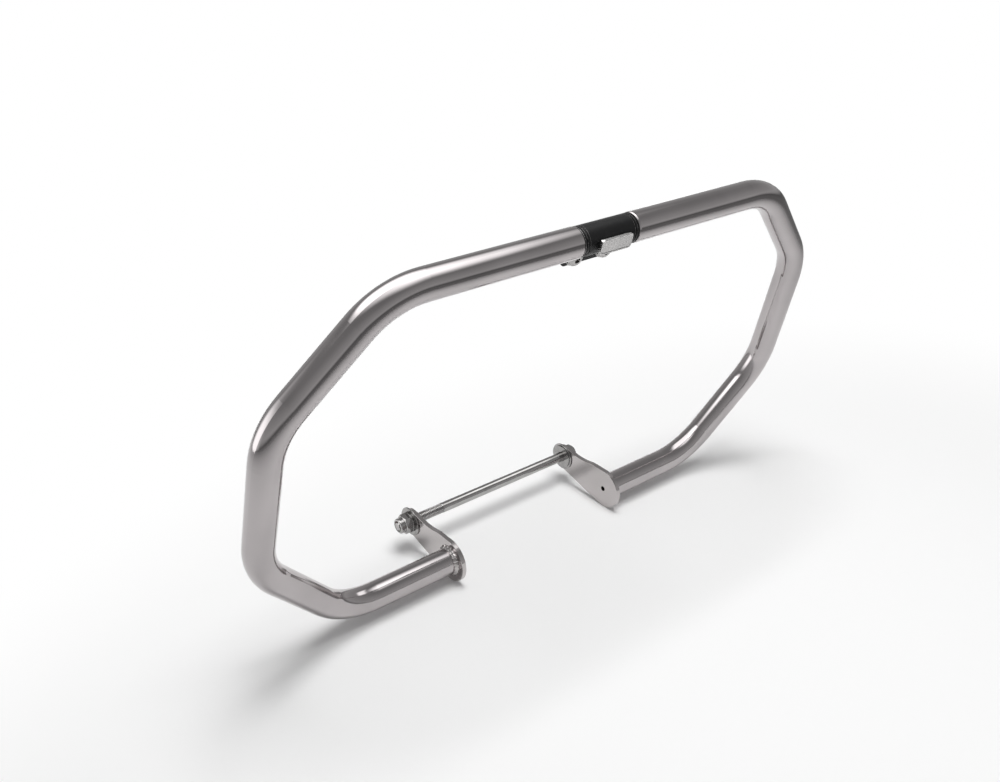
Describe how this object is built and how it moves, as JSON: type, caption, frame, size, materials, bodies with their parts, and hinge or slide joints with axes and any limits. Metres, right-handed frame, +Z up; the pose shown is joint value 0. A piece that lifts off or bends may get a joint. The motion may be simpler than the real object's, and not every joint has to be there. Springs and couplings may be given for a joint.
{
  "type": "motorcycle crash bars",
  "caption": "Eight-sided tubular engine guard hoop leaning forward, on two teardrop lug plates with a through bolt and a bolted bracket for the frame.",
  "frame": {"origin": "middle of the through bolt's axis, half way between the two lug plates", "axes": "+X along the bolt to the rider's left, -Y to the front of the motorcycle, +Z up"},
  "size_m": [0.6116, 0.1685, 0.347],
  "materials": {
    "polished_tube": "polished and plated tube",
    "polished_plate": "polished flat plate with broken edges",
    "plain_steel": "plain turned steel",
    "weld_metal": "rippled weld, plated over",
    "zinc_hardware": "bright zinc",
    "black_hardware": "black oxide",
    "black_sleeve": "satin black",
    "nylon_insert": "natural nylon"
  },
  "bodies": {
    "root": {"right_hoop_tube": "polished_tube", "left_hoop_tube": "polished_tube", "joiner_tube": "plain_steel", "joiner_pins": "plain_steel", "joint_sleeve": "black_sleeve", "right_lug_plate": "polished_plate", "left_lug_plate": "polished_plate", "right_weld_bead": "weld_metal", "left_weld_bead": "weld_metal", "through_bolt": "zinc_hardware", "bolt_head_washer": "zinc_hardware", "left_inner_washer": "zinc_hardware", "left_inner_spacer": "zinc_hardware", "right_outer_washer": "zinc_hardware", "lock_nut_washer": "zinc_hardware", "lock_nut": "zinc_hardware", "lock_nut_insert": "nylon_insert", "frame_bracket": "black_hardware", "frame_washers": "zinc_hardware", "frame_bolts": "zinc_hardware"}
  },
  "joints": []
}
